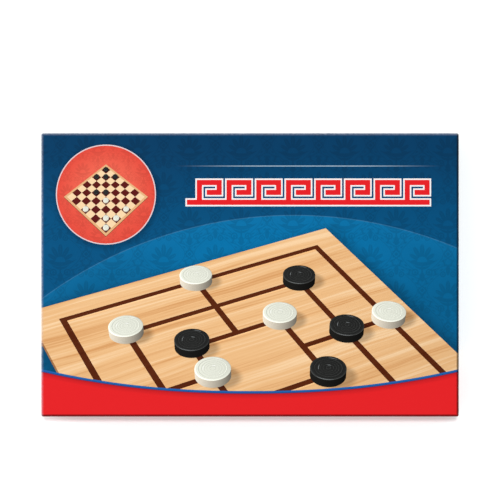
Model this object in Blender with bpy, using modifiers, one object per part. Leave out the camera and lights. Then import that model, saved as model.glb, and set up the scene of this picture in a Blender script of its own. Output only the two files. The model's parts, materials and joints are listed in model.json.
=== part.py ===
"""Nine men's morris box: a lift-off-lid cardboard case with its folding board, stones, inserts and rules.

Units are metres and +Z is up. The case lies flat, lid on top. The origin is the middle of its base on the
table, +X runs along the long side and +Y points to the back, where the board is stored.
"""

import math

import bmesh
import bpy
from mathutils import Matrix, Vector

# Closed case, measured over the wrapped lid
LID_LENGTH = 0.380
LID_WIDTH = 0.258
CASE_HEIGHT = 0.040

# Paper and board stock
PAPER = 0.0003
GREYBOARD = 0.0015
INSERT_CARD = 0.0008
FORMED_SHEET = 0.0008

# Clearances
GLUE_GAP = 0.0003
SEAT_GAP = 0.0003
LID_TO_TRAY = 0.0007
INSERT_TO_WALL = 0.0004
BETWEEN_INSERTS = 0.0005

# Wrapped paper on the lid and the tray
LID_RIM_ABOVE_TABLE = 0.0025
WRAP_CORNER_RADIUS = 0.0008
WRAP_FLAP_CORNER_RADIUS = 0.0005
WRAP_EDGE_RADIUS = 0.0007
WRAP_FOLD_RADIUS = 0.0006
WRAP_ARC_STEPS = 3
WRAP_FOLD_STEPS = 2
TURN_IN_HEIGHT = 0.016
TURN_UNDER_WIDTH = 0.012
BASE_SHEET_INSET = 0.003

# Stones: turned wooden discs, white and black
STONE_DIAMETER = 0.032
STONE_EDGE_CHAMFER = 0.0009
STONE_RIM_WIDTH = 0.0026
STONE_GROOVE_WIDTH = 0.0014
STONE_GROOVE_DEPTH = 0.0006
STONE_RING_WIDTH = 0.0030
STONE_DISH_DEPTH = 0.0007
STONE_STEPS = 20
STONE_MERGE_SHARE = 0.001
STONES_IN_STACK = 3
STACKS_OF_A_COLOUR = 4

# Formed stone tray, along the front of the case
FORMED_TRAY_WIDTH = 0.061
FORMED_CORNER_RADIUS = 0.0030
FORMED_EDGE_RADIUS = 0.0012
STACK_TOP_BELOW_RIM = 0.0065
STACK_ABOVE_DECK = 0.0106
WELL_ABOVE_FLOOR = 0.0042
WELL_TO_DECK_END = 0.0156
WELL_CLEARANCE = 0.0008
WELL_DRAFT = 0.0006
WELL_STEPS = 20

# Folding board: two greyboard halves that share the printed morris sheet
BOARD_BELOW_RIM = 0.0064
BOARD_CORE = 0.0015
MORRIS_SHEET_INSET = 0.0015
FOLD_GAP = 0.0003
BOARD_TO_INSERT = 0.0045
BOARD_BACK_GAP = 0.0049
BOARD_END_GAP = 0.0089

# Folded card platform under the board
PLATFORM_END_GAP = 0.0035
PLATFORM_FOOT_WIDTH = 0.012

# Rules: one sheet folded once
RULES_LENGTH = 0.210
RULES_SIDE_GAP = 0.0135
RULES_LEAF_GAP = 0.0005
RULES_FOLD_STEPS = 4

# A cutter runs past the face that it opens by this much
CUT_OVERRUN = 0.004

# Layers of the wrapped walls, from the outside in
WALL_STACK = PAPER + GLUE_GAP + GREYBOARD + GLUE_GAP + PAPER
TRAY_LENGTH = LID_LENGTH - 2 * (WALL_STACK + LID_TO_TRAY)
TRAY_WIDTH = LID_WIDTH - 2 * (WALL_STACK + LID_TO_TRAY)
INSIDE_LENGTH = TRAY_LENGTH - 2 * WALL_STACK
INSIDE_WIDTH = TRAY_WIDTH - 2 * WALL_STACK

# Heights above the table
LID_CORE_TOP = CASE_HEIGHT - PAPER - GLUE_GAP
LID_CEILING = LID_CORE_TOP - GREYBOARD
LID_CORE_BOTTOM = LID_RIM_ABOVE_TABLE + PAPER + GLUE_GAP
TRAY_RIM = LID_CEILING - SEAT_GAP
TRAY_WRAP_BOTTOM = PAPER + GLUE_GAP
TRAY_CORE_BOTTOM = TRAY_WRAP_BOTTOM + PAPER + GLUE_GAP
TRAY_CORE_TOP = TRAY_RIM - PAPER - GLUE_GAP
TRAY_FLOOR = TRAY_CORE_BOTTOM + GREYBOARD
INSERT_FOOT = TRAY_FLOOR + SEAT_GAP

# Formed tray and the stacks in it
FORMED_TRAY_LENGTH = INSIDE_LENGTH - 2 * INSERT_TO_WALL
FORMED_TRAY_FRONT = -INSIDE_WIDTH / 2 + INSERT_TO_WALL
FORMED_TRAY_BACK = FORMED_TRAY_FRONT + FORMED_TRAY_WIDTH
STACK_ROW_Y = (FORMED_TRAY_FRONT + FORMED_TRAY_BACK) / 2
STACK_COUNT = 2 * STACKS_OF_A_COLOUR
WELL_FLOOR = TRAY_FLOOR + WELL_ABOVE_FLOOR + FORMED_SHEET
STACK_BOTTOM = WELL_FLOOR + SEAT_GAP
STACK_TOP = TRAY_RIM - STACK_TOP_BELOW_RIM
STONE_THICKNESS = (STACK_TOP - STACK_BOTTOM + SEAT_GAP) / STONES_IN_STACK - SEAT_GAP
FORMED_DECK = STACK_TOP - STACK_ABOVE_DECK
WELL_FLOOR_RADIUS = STONE_DIAMETER / 2 + WELL_CLEARANCE
WELL_MOUTH_RADIUS = WELL_FLOOR_RADIUS + WELL_DRAFT
STACK_ROW_LENGTH = FORMED_TRAY_LENGTH - 2 * (WELL_TO_DECK_END + WELL_MOUTH_RADIUS)
STACK_PITCH = STACK_ROW_LENGTH / (STACK_COUNT - 1)

# Board, rules and platform, stacked from the board's top face down
BOARD_HALF_STACK = PAPER + GLUE_GAP + BOARD_CORE + GLUE_GAP + PAPER
BOARD_TOP = TRAY_RIM - BOARD_BELOW_RIM
BOARD_AXIS_Z = BOARD_TOP - BOARD_HALF_STACK - FOLD_GAP / 2
BOARD_BOTTOM = BOARD_AXIS_Z - FOLD_GAP / 2 - BOARD_HALF_STACK
BOARD_AXIS_Y = INSIDE_WIDTH / 2 - BOARD_BACK_GAP
BOARD_HALF_WIDTH = BOARD_AXIS_Y - FORMED_TRAY_BACK - BOARD_TO_INSERT
BOARD_LENGTH = INSIDE_LENGTH - 2 * BOARD_END_GAP
RULES_WIDTH = BOARD_HALF_WIDTH - 2 * RULES_SIDE_GAP
RULES_TOP = BOARD_BOTTOM - SEAT_GAP
RULES_BOTTOM = RULES_TOP - 2 * PAPER - RULES_LEAF_GAP
PLATFORM_TOP = RULES_BOTTOM - SEAT_GAP
PLATFORM_FRONT = FORMED_TRAY_BACK + BETWEEN_INSERTS
PLATFORM_BACK = INSIDE_WIDTH / 2 - INSERT_TO_WALL
PLATFORM_LENGTH = INSIDE_LENGTH - 2 * PLATFORM_END_GAP


# Scene and materials
def clear_scene():
    for obj in list(bpy.data.objects):
        bpy.data.objects.remove(obj, do_unlink=True)


def make_collection(name, shown=True):
    collection = bpy.data.collections.new(name)
    collection.hide_render = not shown
    bpy.context.scene.collection.children.link(collection)
    return collection


def make_material(name, colour, roughness, metallic=0.0):
    material = bpy.data.materials.new(name)
    material.use_nodes = True
    shader = material.node_tree.nodes["Principled BSDF"]
    shader.inputs["Base Color"].default_value = (*colour, 1.0)
    shader.inputs["Roughness"].default_value = roughness
    shader.inputs["Metallic"].default_value = metallic
    material.diffuse_color = (*colour, 1.0)
    return material


def make_empty(name, collection, location):
    empty = bpy.data.objects.new(name, None)
    empty.location = location
    empty.empty_display_size = STONE_DIAMETER
    collection.objects.link(empty)
    return empty


def make_object(name, mesh, material, collection, location=(0.0, 0.0, 0.0), parent=None):
    """Adds a mesh as a named object at a world location, under an empty that isn't turned or scaled."""
    if not mesh.materials:
        mesh.materials.append(material)
    obj = bpy.data.objects.new(name, mesh)
    obj.parent = parent
    obj.location = Vector(location) - (parent.location if parent else Vector())
    collection.objects.link(obj)
    return obj


def mesh_from(bm, name):
    mesh = bpy.data.meshes.new(name)
    bm.to_mesh(mesh)
    bm.free()
    return mesh


# Shapes that several pieces share
def rounded_rectangle(half_length, half_width, radius, steps):
    """Points of a rectangle with round corners, anticlockwise."""
    points = []
    for quarter, (side_x, side_y) in enumerate(((1, 1), (-1, 1), (-1, -1), (1, -1))):
        centre_x = side_x * (half_length - radius)
        centre_y = side_y * (half_width - radius)
        for step in range(steps + 1):
            angle = math.radians(90) * (quarter + step / steps)
            points.append((centre_x + radius * math.cos(angle), centre_y + radius * math.sin(angle)))
    return points


def arc(centre_inset, centre_z, radius, start_degrees, end_degrees, steps):
    """Points (inset, z) along an arc in the wall's section; inset grows towards the inside of the case."""
    points = []
    for step in range(steps + 1):
        angle = math.radians(start_degrees + (end_degrees - start_degrees) * step / steps)
        points.append((centre_inset - radius * math.cos(angle), centre_z + radius * math.sin(angle)))
    return points


def loft(sections, cap_first=False, cap_last=False):
    """Skins (half_length, half_width, corner_radius, z) sections, listed down the outer side of the wall."""
    bm = bmesh.new()
    rings = []
    for half_length, half_width, radius, z in sections:
        outline = rounded_rectangle(half_length, half_width, radius, WRAP_ARC_STEPS)
        rings.append([bm.verts.new((x, y, z)) for x, y in outline])
    for ring, next_ring in zip(rings, rings[1:]):
        for i in range(len(ring)):
            bm.faces.new((next_ring[i - 1], next_ring[i], ring[i], ring[i - 1]))
    if cap_first:
        bm.faces.new(rings[0])
    if cap_last:
        bm.faces.new(reversed(rings[-1]))
    return bm


def wall_sections(length, width, profile, corner_radius, flap_corner_radius):
    """Turns a wall's section, as (inset, z) points, into the sections of a loft round the case."""
    return [
        (
            length / 2 - inset,
            width / 2 - inset,
            max(corner_radius - inset, flap_corner_radius),
            z,
        )
        for inset, z in profile
    ]


def thicken(obj, thickness):
    """Makes a solid of an open surface that is its outer face."""
    solidify = obj.modifiers.new("thickness", "SOLIDIFY")
    solidify.thickness = thickness
    solidify.offset = -1.0
    solidify.use_even_offset = True


def smooth(obj, degrees=30):
    obj.data.shade_smooth()
    obj.data.set_sharp_from_angle(angle=math.radians(degrees))


def box_mesh(name, low, high, open_faces=(), upright_edge_radius=0):
    """A box between two corners. open_faces are the directions whose face is taken out."""
    bm = bmesh.new()
    low, high = Vector(low), Vector(high)
    size = high - low
    place = Matrix.Translation((low + high) / 2) @ Matrix.Diagonal((*size, 1.0))
    bmesh.ops.create_cube(bm, size=1.0, matrix=place)
    bm.normal_update()
    gone = [face for face in bm.faces if any(face.normal.dot(Vector(way)) > 0.5 for way in open_faces)]
    bmesh.ops.delete(bm, geom=gone, context="FACES")
    if upright_edge_radius:
        upright = [edge for edge in bm.edges if (edge.verts[0].co - edge.verts[1].co).to_2d().length == 0]
        bmesh.ops.bevel(
            bm, geom=upright, offset=upright_edge_radius, segments=WRAP_ARC_STEPS, profile=0.5, affect="EDGES"
        )
    return mesh_from(bm, name)


def board_panels(prefix, half_length, half_width, plate, wall_heights):
    """The five panels that a scored greyboard blank folds up into: one plate and four walls."""
    plate_name, plate_low, plate_high = plate
    low, high = wall_heights
    inner_width = half_width - GREYBOARD
    inner_length = half_length - GREYBOARD
    end = inner_width - FOLD_GAP
    spans = {
        plate_name: ((-half_length, -half_width, plate_low), (half_length, half_width, plate_high)),
        "front": ((-half_length, -half_width, low), (half_length, -inner_width, high)),
        "back": ((-half_length, inner_width, low), (half_length, half_width, high)),
        "left": ((-half_length, -end, low), (-inner_length, end, high)),
        "right": ((inner_length, -end, low), (half_length, end, high)),
    }
    return [box_mesh(f"{prefix}_{name}", *span) for name, span in spans.items()]


# Lid
def build_lid(materials, collection):
    body = make_empty("lid_body", collection, (0.0, 0.0, LID_RIM_ABOVE_TABLE))
    edge_z = CASE_HEIGHT - WRAP_EDGE_RADIUS
    fold_z = LID_RIM_ABOVE_TABLE + WRAP_FOLD_RADIUS
    wrap_profile = arc(WRAP_EDGE_RADIUS, edge_z, WRAP_EDGE_RADIUS, 90, 0, WRAP_ARC_STEPS)
    wrap_profile += arc(WRAP_FOLD_RADIUS, fold_z, WRAP_FOLD_RADIUS, 0, -90, WRAP_FOLD_STEPS)
    wrap_profile += arc(WALL_STACK - WRAP_FOLD_RADIUS, fold_z, WRAP_FOLD_RADIUS, -90, -180, WRAP_FOLD_STEPS)
    wrap_profile.append((WALL_STACK, LID_RIM_ABOVE_TABLE + TURN_IN_HEIGHT))
    sections = wall_sections(
        LID_LENGTH, LID_WIDTH, wrap_profile, WRAP_CORNER_RADIUS, WRAP_FLAP_CORNER_RADIUS
    )
    wrap_mesh = mesh_from(loft(sections, cap_first=True), "lid_wrap")
    wrap = make_object("lid_wrap", wrap_mesh, materials["lid_print"], collection, parent=body)
    wrap.location = -body.location
    smooth(wrap)
    thicken(wrap, PAPER)

    panels = board_panels(
        "lid_board",
        LID_LENGTH / 2 - PAPER - GLUE_GAP,
        LID_WIDTH / 2 - PAPER - GLUE_GAP,
        ("top", LID_CEILING, LID_CORE_TOP),
        (LID_CORE_BOTTOM, LID_CEILING - FOLD_GAP),
    )
    for panel_mesh in panels:
        panel = make_object(panel_mesh.name, panel_mesh, materials["greyboard"], collection, parent=body)
        panel.location = -body.location


# Tray: the lower half of the case
def build_tray(materials, collection):
    fold_z = TRAY_RIM - WRAP_FOLD_RADIUS
    edge_z = TRAY_WRAP_BOTTOM + WRAP_EDGE_RADIUS
    wrap_profile = [(WALL_STACK, TRAY_RIM - TURN_IN_HEIGHT)]
    wrap_profile += arc(WALL_STACK - WRAP_FOLD_RADIUS, fold_z, WRAP_FOLD_RADIUS, 180, 90, WRAP_FOLD_STEPS)
    wrap_profile += arc(WRAP_FOLD_RADIUS, fold_z, WRAP_FOLD_RADIUS, 90, 0, WRAP_FOLD_STEPS)
    wrap_profile += arc(WRAP_EDGE_RADIUS, edge_z, WRAP_EDGE_RADIUS, 0, -90, WRAP_ARC_STEPS)
    wrap_profile.append((TURN_UNDER_WIDTH, TRAY_WRAP_BOTTOM))
    sections = wall_sections(
        TRAY_LENGTH, TRAY_WIDTH, wrap_profile, WRAP_CORNER_RADIUS, WRAP_FLAP_CORNER_RADIUS
    )
    wrap_mesh = mesh_from(loft(sections), "tray_wrap")
    wrap = make_object("tray_wrap", wrap_mesh, materials["tray_print"], collection)
    smooth(wrap)
    thicken(wrap, PAPER)

    panels = board_panels(
        "tray_board",
        TRAY_LENGTH / 2 - PAPER - GLUE_GAP,
        TRAY_WIDTH / 2 - PAPER - GLUE_GAP,
        ("floor", TRAY_CORE_BOTTOM, TRAY_FLOOR),
        (TRAY_FLOOR + FOLD_GAP, TRAY_CORE_TOP),
    )
    for panel_mesh in panels:
        make_object(panel_mesh.name, panel_mesh, materials["greyboard"], collection)

    sheet_half = Vector((TRAY_LENGTH / 2 - BASE_SHEET_INSET, TRAY_WIDTH / 2 - BASE_SHEET_INSET, 0.0))
    sheet_mesh = box_mesh("tray_base_sheet", -sheet_half, sheet_half + Vector((0.0, 0.0, PAPER)))
    make_object("tray_base_sheet", sheet_mesh, materials["tray_print"], collection)


# Formed stone tray: one sheet with a row of round wells
def stack_x(index):
    return (index - (STACK_COUNT - 1) / 2) * STACK_PITCH


def well_cutter(index, cutters):
    depth = FORMED_DECK - WELL_FLOOR
    over = CUT_OVERRUN / depth
    bm = bmesh.new()
    bmesh.ops.create_cone(
        bm,
        cap_ends=True,
        segments=WELL_STEPS,
        radius1=WELL_FLOOR_RADIUS,
        radius2=WELL_MOUTH_RADIUS + WELL_DRAFT * over,
        depth=depth + CUT_OVERRUN,
    )
    name = f"well_cutter_{index + 1}"
    middle = (stack_x(index), STACK_ROW_Y, (WELL_FLOOR + FORMED_DECK + CUT_OVERRUN) / 2)
    cutter = make_object(name, mesh_from(bm, name), None, cutters, middle)
    cutter.hide_render = True
    cutter.display_type = "WIRE"
    return cutter


def round_top_edges(mesh, radius):
    bm = bmesh.new()
    bm.from_mesh(mesh)
    top = max(vertex.co.z for vertex in bm.verts)
    edges = [edge for edge in bm.edges if all(vertex.co.z == top for vertex in edge.verts)]
    bmesh.ops.bevel(bm, geom=edges, offset=radius, segments=WRAP_FOLD_STEPS, profile=0.5, affect="EDGES")
    bm.to_mesh(mesh)
    bm.free()


def build_formed_tray(materials, collection, cutters):
    low = (-FORMED_TRAY_LENGTH / 2, -FORMED_TRAY_WIDTH / 2, INSERT_FOOT)
    high = (FORMED_TRAY_LENGTH / 2, FORMED_TRAY_WIDTH / 2, FORMED_DECK)
    block = box_mesh("stone_tray", low, high, upright_edge_radius=FORMED_CORNER_RADIUS)
    round_top_edges(block, FORMED_EDGE_RADIUS)
    tray = make_object("stone_tray", block, materials["formed_sheet"], collection, (0.0, STACK_ROW_Y, 0.0))
    for index in range(STACK_COUNT):
        cut = tray.modifiers.new(f"well_{index + 1}", "BOOLEAN")
        cut.operation = "DIFFERENCE"
        cut.object = well_cutter(index, cutters)

    bpy.context.view_layer.update()
    formed = bpy.data.meshes.new_from_object(tray.evaluated_get(bpy.context.evaluated_depsgraph_get()))
    tray.modifiers.clear()
    tray.data = formed
    bm = bmesh.new()
    bm.from_mesh(formed)
    bm.normal_update()
    facing_down = [face for face in bm.faces if face.normal.z < -0.5]
    underside = [face for face in facing_down if face.calc_center_median().z < INSERT_FOOT + SEAT_GAP]
    bmesh.ops.delete(bm, geom=underside, context="FACES")
    bm.to_mesh(formed)
    bm.free()
    smooth(tray)
    thicken(tray, FORMED_SHEET)


# Card platform that carries the rules and the board
def folded_strip(profile, half_length):
    """A sheet along X, from (y, z) points that go round its outer face clockwise as seen from +X."""
    bm = bmesh.new()
    ends = [[bm.verts.new((x, y, z)) for y, z in profile] for x in (-half_length, half_length)]
    for i in range(1, len(profile)):
        bm.faces.new((ends[0][i - 1], ends[1][i - 1], ends[1][i], ends[0][i]))
    return bm


def build_platform(materials, collection):
    profile = [
        (PLATFORM_FRONT + PLATFORM_FOOT_WIDTH, INSERT_FOOT),
        (PLATFORM_FRONT, INSERT_FOOT),
        (PLATFORM_FRONT, PLATFORM_TOP),
        (PLATFORM_BACK, PLATFORM_TOP),
        (PLATFORM_BACK, INSERT_FOOT),
        (PLATFORM_BACK - PLATFORM_FOOT_WIDTH, INSERT_FOOT),
    ]
    strip_mesh = mesh_from(folded_strip(profile, PLATFORM_LENGTH / 2), "card_platform")
    platform = make_object("card_platform", strip_mesh, materials["insert_card"], collection)
    thicken(platform, INSERT_CARD)


# Rules leaflet: one sheet, folded once along X
def build_rules(materials, collection):
    middle_y = BOARD_AXIS_Y - BOARD_HALF_WIDTH / 2
    body = make_empty("rules_body", collection, (0.0, middle_y, RULES_BOTTOM))
    outer_radius = (RULES_TOP - RULES_BOTTOM) / 2
    fold_y = middle_y - RULES_WIDTH / 2 + outer_radius
    free_y = middle_y + RULES_WIDTH / 2
    profile = [(free_y, RULES_BOTTOM)]
    for step in range(RULES_FOLD_STEPS + 1):
        angle = math.pi * step / RULES_FOLD_STEPS
        height = RULES_BOTTOM + outer_radius - outer_radius * math.cos(angle)
        profile.append((fold_y - outer_radius * math.sin(angle), height))
    profile.append((free_y, RULES_TOP))
    strip_mesh = mesh_from(folded_strip(profile, RULES_LENGTH / 2), "rules_leaflet")
    leaflet = make_object("rules_leaflet", strip_mesh, materials["paper"], collection)
    leaflet.parent = body
    leaflet.location = -body.location
    smooth(leaflet, 60)
    thicken(leaflet, PAPER)


# Folding board
def board_layer(name, low, high, side, open_faces=()):
    """A board layer in the hinge's frame: x along the fold, -y away from it, z from the fold's middle.

    side is -1 for the half that lies below and 1 for the half that lies above.
    """
    low, high = Vector(low), Vector(high)
    corner_a = Vector((low.x, low.y, side * low.z))
    corner_b = Vector((high.x, high.y, side * high.z))
    bottom = Vector(map(min, corner_a, corner_b))
    top = Vector(map(max, corner_a, corner_b))
    return box_mesh(name, bottom, top, open_faces)


def build_board_half(half_name, side, materials, collection, body):
    edge_stack = PAPER + GLUE_GAP
    half_side = BOARD_LENGTH / 2
    fold_edge = FOLD_GAP / 2
    sheet_z = FOLD_GAP / 2
    core_z = sheet_z + PAPER + GLUE_GAP
    core_outer_z = core_z + BOARD_CORE
    outer_z = core_outer_z + GLUE_GAP + PAPER

    sheet_half = half_side - MORRIS_SHEET_INSET
    sheet = board_layer(
        f"morris_sheet_{half_name}",
        (-sheet_half, MORRIS_SHEET_INSET - BOARD_HALF_WIDTH, sheet_z),
        (sheet_half, -fold_edge, sheet_z + PAPER),
        side,
    )
    make_object(sheet.name, sheet, materials["board_print"], collection, body.location, body)

    core_half = half_side - edge_stack
    core = board_layer(
        f"board_core_{half_name}",
        (-core_half, edge_stack - BOARD_HALF_WIDTH, core_z),
        (core_half, -fold_edge, core_outer_z),
        side,
    )
    make_object(core.name, core, materials["greyboard"], collection, body.location, body)

    wrap = board_layer(
        f"draughts_wrap_{half_name}",
        (-half_side, -BOARD_HALF_WIDTH, core_z),
        (half_side, -fold_edge, outer_z),
        side,
        open_faces=((0.0, 1.0, 0.0), (0.0, 0.0, -side)),
    )
    wrap_object = make_object(wrap.name, wrap, materials["board_print"], collection, body.location, body)
    thicken(wrap_object, PAPER)


def build_board(materials, collection):
    fold = (0.0, BOARD_AXIS_Y, BOARD_AXIS_Z)
    for half_name, side in (("lower", -1), ("upper", 1)):
        body = make_empty(f"board_{half_name}_body", collection, fold)
        build_board_half(half_name, side, materials, collection, body)


# Stones
def stone_profile():
    """Half section of a stone as (radius, height), from the middle of its top face round to the bottom."""
    top = STONE_THICKNESS / 2
    radius = STONE_DIAMETER / 2
    rim_inside = radius - STONE_EDGE_CHAMFER - STONE_RIM_WIDTH
    ring_outside = rim_inside - STONE_GROOVE_WIDTH
    dish_edge = ring_outside - STONE_RING_WIDTH
    face = [
        (0.0, top - STONE_DISH_DEPTH),
        (dish_edge, top),
        (ring_outside, top),
        (rim_inside - STONE_GROOVE_WIDTH / 2, top - STONE_GROOVE_DEPTH),
        (rim_inside, top),
        (radius - STONE_EDGE_CHAMFER, top),
        (radius, top - STONE_EDGE_CHAMFER),
    ]
    return face + [(r, -z) for r, z in reversed(face)]


def stone_mesh(name):
    bm = bmesh.new()
    points = [bm.verts.new((r, 0.0, z)) for r, z in stone_profile()]
    for upper, lower in zip(points, points[1:]):
        bm.edges.new((upper, lower))
    return mesh_from(bm, name)


def build_stones(materials, collection):
    """Four stacks of white stones from the left, then four of black, numbered upwards in each stack."""
    for colour, first_stack in (("white", 0), ("black", STACKS_OF_A_COLOUR)):
        mesh = stone_mesh(f"{colour}_stone")
        for stack in range(STACKS_OF_A_COLOUR):
            for layer in range(STONES_IN_STACK):
                number = stack * STONES_IN_STACK + layer + 1
                height = STACK_BOTTOM + STONE_THICKNESS / 2 + layer * (STONE_THICKNESS + SEAT_GAP)
                place = (stack_x(first_stack + stack), STACK_ROW_Y, height)
                name = f"{colour}_stone_{number:02d}"
                stone = make_object(name, mesh, materials[f"{colour}_stone"], collection, place)
                turn = stone.modifiers.new("turned", "SCREW")
                turn.steps = STONE_STEPS
                turn.render_steps = STONE_STEPS
                turn.use_merge_vertices = True
                turn.merge_threshold = STONE_THICKNESS * STONE_MERGE_SHARE


def main():
    clear_scene()
    collection = make_collection("nine_mens_morris_box")
    cutters = make_collection("cutters", shown=False)
    materials = {
        "lid_print": make_material("lid_print", (0.006, 0.085, 0.215), 0.38),
        "tray_print": make_material("tray_print", (0.006, 0.070, 0.180), 0.42),
        "greyboard": make_material("greyboard", (0.420, 0.400, 0.360), 0.90),
        "insert_card": make_material("insert_card", (0.780, 0.770, 0.740), 0.80),
        "formed_sheet": make_material("formed_sheet", (0.010, 0.040, 0.110), 0.35),
        "board_print": make_material("board_print", (0.820, 0.530, 0.270), 0.45),
        "paper": make_material("paper", (0.860, 0.850, 0.820), 0.75),
        "white_stone": make_material("white_stone", (0.800, 0.790, 0.730), 0.40),
        "black_stone": make_material("black_stone", (0.012, 0.012, 0.012), 0.35),
    }
    build_lid(materials, collection)
    build_tray(materials, collection)
    build_formed_tray(materials, collection, cutters)
    build_platform(materials, collection)
    build_rules(materials, collection)
    build_board(materials, collection)
    build_stones(materials, collection)


main()
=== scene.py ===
"""Looks of the nine men's morris box.

Lengths are in millimetres, and MM turns them into the scene's metres. Angles of drawings are in degrees.
"""

import json
from math import atan2, copysign, cos, dist, hypot, pi, radians, sin

import bpy
import bmesh
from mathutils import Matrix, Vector
from mathutils.geometry import delaunay_2d_cdt

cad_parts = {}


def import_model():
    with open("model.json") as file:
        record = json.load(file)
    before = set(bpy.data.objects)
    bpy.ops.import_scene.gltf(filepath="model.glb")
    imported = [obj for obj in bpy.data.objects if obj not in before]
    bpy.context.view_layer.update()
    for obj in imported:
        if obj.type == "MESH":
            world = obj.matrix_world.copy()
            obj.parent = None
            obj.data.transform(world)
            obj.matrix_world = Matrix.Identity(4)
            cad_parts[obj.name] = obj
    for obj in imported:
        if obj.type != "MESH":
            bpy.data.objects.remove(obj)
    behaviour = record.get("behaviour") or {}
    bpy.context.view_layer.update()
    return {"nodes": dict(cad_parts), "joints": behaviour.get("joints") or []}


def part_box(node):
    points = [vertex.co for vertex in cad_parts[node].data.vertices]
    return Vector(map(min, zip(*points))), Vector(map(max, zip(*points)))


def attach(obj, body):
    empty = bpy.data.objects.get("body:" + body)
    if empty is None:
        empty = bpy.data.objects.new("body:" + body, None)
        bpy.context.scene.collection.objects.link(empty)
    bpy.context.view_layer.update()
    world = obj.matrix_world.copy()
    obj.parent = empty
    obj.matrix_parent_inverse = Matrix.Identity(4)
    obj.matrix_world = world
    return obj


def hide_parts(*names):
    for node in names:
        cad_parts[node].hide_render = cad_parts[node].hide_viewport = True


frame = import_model()
SCENE = bpy.context.scene
MM = 0.001
TURN = 2 * pi
WHITE = (1.0, 1.0, 1.0)


# Sizes from the frame
class Box:
    """A node's box at rest, in millimetres."""

    def __init__(self, node):
        low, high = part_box(node)
        self.low = [round(c / MM, 2) for c in low]
        self.high = [round(c / MM, 2) for c in high]
        self.half = [(b - a) / 2 for a, b in zip(self.low, self.high)]
        self.middle = [(a + b) / 2 for a, b in zip(self.low, self.high)]


LID = Box("lid_wrap")
TRAY = Box("tray_wrap")
FORMED = Box("stone_tray")
PLATFORM = Box("card_platform")
RULES = Box("rules_leaflet")
STONE = Box("white_stone_01")
STACK_PITCH = Box("white_stone_04").middle[0] - STONE.middle[0]
BOARD_HALF = Box("draughts_wrap_lower").half[0]
FOLD_Y = next(joint["pos_m"][1] for joint in frame["joints"] if joint["name"] == "board_unfold") / MM

# The morris board's three squares, as half their sides
SQUARES = (146.0, 97.0, 48.0)
OUTER, MIDDLE, INNER = SQUARES

# Wrapped papers: their glued side is pressed closer round the edge than their printed side
PAPER = 0.3
EDGE = 1.7
GLUED_EDGE = 0.8
CORNER = 1.8
LEAST_RADIUS = 0.1
FOLD = 0.6
WALL = 2.7
TURN_IN = 16.0
TURN_UNDER = 12.0
NOTCH_DEPTH = 11.0
NOTCH_LENGTH = 10.0

# Steps of round forms
SIDE_STEP = 8.0
CORNER_STEPS = 6
ROUND_STEPS = 72


# Colours and node helpers
def linear(*srgb):
    """An 8-bit sRGB colour as linear numbers."""
    values = [c / 255 for c in srgb]
    return tuple(v / 12.92 if v <= 0.04045 else ((v + 0.055) / 1.055) ** 2.4 for v in values)


def operation(kind):
    """A method that adds a Math node."""
    return lambda self, *others: self.tree.math(kind, self, *others)


class Value:
    """A number in a node tree. Arithmetic on it adds nodes."""

    def __init__(self, tree, socket):
        self.tree, self.socket = tree, socket

    __add__ = __radd__ = operation("ADD")
    __sub__ = operation("SUBTRACT")
    __mul__ = __rmul__ = operation("MULTIPLY")
    __truediv__ = operation("DIVIDE")
    __abs__ = operation("ABSOLUTE")
    sin, cos = operation("SINE"), operation("COSINE")
    root, power = operation("SQRT"), operation("POWER")
    least, most = operation("MINIMUM"), operation("MAXIMUM")

    def __rsub__(self, other):
        return self.tree.math("SUBTRACT", other, self)

    def __neg__(self):
        return self * -1

    def part(self):
        """How far it is from the nearest whole number."""
        return self - self.tree.math("ROUND", self)

    def rises(self, low, high):
        """0 at low and 1 at high, smooth between them; high may be the lower number."""
        inputs = {"Value": self, "From Min": low, "From Max": high}
        return Value(self.tree, self.tree.node("MapRange", inputs, interpolation_type="SMOOTHSTEP")[0])

    def line(self, half, soft=0.3):
        """1 where the number is within half of 0."""
        return abs(self).rises(half + soft, half - soft)


class Nodes:
    """A node tree, with short ways to add to it."""

    def __init__(self, node_tree):
        self.nodes, self.links = node_tree.nodes, node_tree.links

    def feed(self, socket, value):
        """Links or sets a socket. A vector may be a tuple, and a colour of three numbers is 8-bit sRGB."""
        value = value.socket if isinstance(value, Value) else value
        if isinstance(value, bpy.types.NodeSocket):
            self.links.new(value, socket)
        elif socket.type == "VECTOR":
            self.links.new(self.node("CombineXYZ", enumerate(value))[0], socket)
        elif socket.type == "RGBA" and len(value) == 3:
            socket.default_value = (*linear(*value), 1)
        else:
            socket.default_value = value

    def node(self, kind, inputs=(), **settings):
        """The outputs of a new node."""
        made = self.nodes.new("ShaderNode" + kind)
        for key in settings:
            setattr(made, key, settings[key])
        for key, value in dict(inputs).items():
            self.feed(made.inputs[key], value)
        return made.outputs

    def math(self, kind, *values):
        return Value(self, self.node("Math", enumerate(values), operation=kind)[0])

    def span(self, x, y):
        """The length of a vector in the plane."""
        return (x * x + y * y).root()

    def split(self, vector, unit=MM):
        """The three numbers of a vector socket, in a unit."""
        return [Value(self, number) * (1 / unit) for number in self.node("SeparateXYZ", {0: vector})]

    def noise(self, vector, scale, detail=2, roughness=0.5):
        inputs = {"Vector": vector, "Scale": scale, "Detail": detail, "Roughness": roughness}
        return Value(self, self.node("TexNoise", inputs)[0])

    def mix(self, factor, first, second, blend="MIX"):
        inputs = {0: factor, 6: first, 7: second}
        return self.node("Mix", inputs, data_type="RGBA", blend_type=blend)[2]

    def shade(self, colour, factor):
        """A colour times a number."""
        inputs = {0: colour, 1: (factor, factor, factor)}
        return self.node("VectorMath", inputs, operation="MULTIPLY")[0]


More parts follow.
